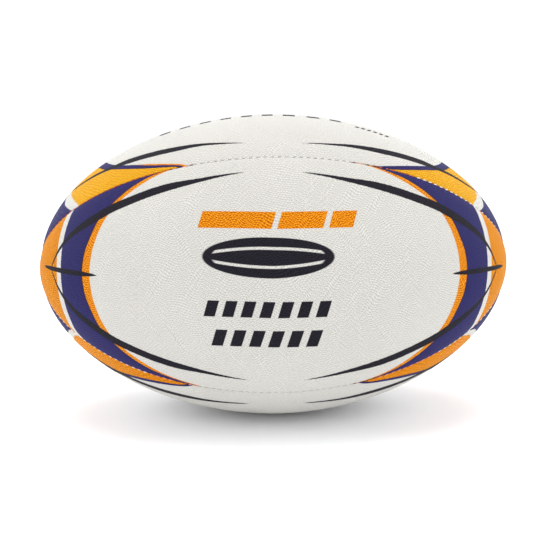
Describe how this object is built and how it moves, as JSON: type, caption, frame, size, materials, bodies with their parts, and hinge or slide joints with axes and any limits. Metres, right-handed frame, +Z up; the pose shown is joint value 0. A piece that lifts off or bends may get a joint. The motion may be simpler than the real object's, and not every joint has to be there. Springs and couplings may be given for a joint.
{
  "type": "rugby ball",
  "caption": "Inflated four-panel rugby ball: pebbled rubber covers with printed tips on fabric plies, sewn seams, an inner bladder and a needle valve.",
  "frame": {"origin": "the ball's centre, on its long axis at mid-length", "axes": "+X along the ball's long axis, +Z up, front panel's middle towards -Y"},
  "size_m": [0.29, 0.1854, 0.1854],
  "materials": {
    "cover_front": "satin pebbled rubber, white with orange tips and a navy band",
    "cover_top": "satin pebbled rubber, white with navy tips and an orange band",
    "cover_back": "satin pebbled rubber, white with orange tips and a navy band",
    "cover_bottom": "satin pebbled rubber, white with navy tips and an orange band",
    "outer_ply": "woven cotton and polyester",
    "middle_ply": "woven cotton and polyester",
    "inner_ply": "woven cotton and polyester",
    "seam_thread": "waxed twisted thread",
    "bladder": "matte",
    "bladder_patch": "matte",
    "valve_body": "satin",
    "valve_plug": "satin"
  },
  "bodies": {
    "root": {"cover_panel_front": "cover_front", "cover_panel_top": "cover_top", "cover_panel_back": "cover_back", "cover_panel_bottom": "cover_bottom", "outer_ply_front": "outer_ply", "outer_ply_top": "outer_ply", "outer_ply_back": "outer_ply", "outer_ply_bottom": "outer_ply", "middle_ply_front": "middle_ply", "middle_ply_top": "middle_ply", "middle_ply_back": "middle_ply", "middle_ply_bottom": "middle_ply", "inner_ply_front": "inner_ply", "inner_ply_top": "inner_ply", "inner_ply_back": "inner_ply", "inner_ply_bottom": "inner_ply", "seam_thread_front_top": "seam_thread", "seam_thread_top_back": "seam_thread", "seam_thread_back_bottom": "seam_thread", "seam_thread_bottom_front": "seam_thread", "bladder": "bladder", "bladder_patch": "bladder_patch", "valve_body": "valve_body", "valve_plug": "valve_plug"}
  },
  "joints": []
}
